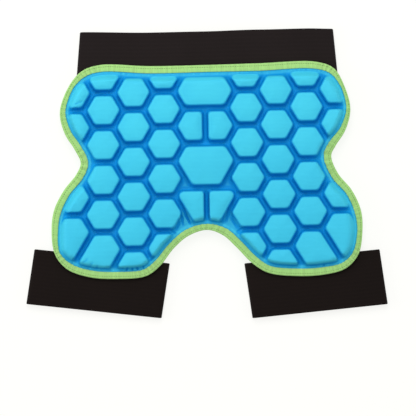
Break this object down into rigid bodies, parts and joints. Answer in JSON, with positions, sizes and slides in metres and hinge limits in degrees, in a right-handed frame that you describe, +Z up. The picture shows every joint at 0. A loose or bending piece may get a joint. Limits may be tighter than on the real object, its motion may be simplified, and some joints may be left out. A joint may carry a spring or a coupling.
{
  "type": "tailbone protector",
  "caption": "Padded seat guard with raised foam cells, a bound edge, an elastic waistband and two elastic leg straps, lying flat on its back.",
  "frame": {"origin": "on the surface that the guard lies on, under the middle of its whole footprint", "axes": "+X across the guard, towards the right of its outer face as it lies; +Y towards the waist; +Z up, out of the padded outer face"},
  "size_m": [0.3986, 0.3194, 0.0285],
  "materials": {
    "pad_fabric": "smooth stretch knit with a satin sheen over moulded foam cells, light blue",
    "binding_tape": "soft folded binding tape, matt, light green",
    "band_elastic": "wide woven elastic, matt, black"
  },
  "bodies": {
    "root": {"pad": "pad_fabric", "edge_binding": "binding_tape", "waistband": "band_elastic", "leg_strap_left": "band_elastic", "leg_strap_right": "band_elastic"}
  },
  "joints": []
}
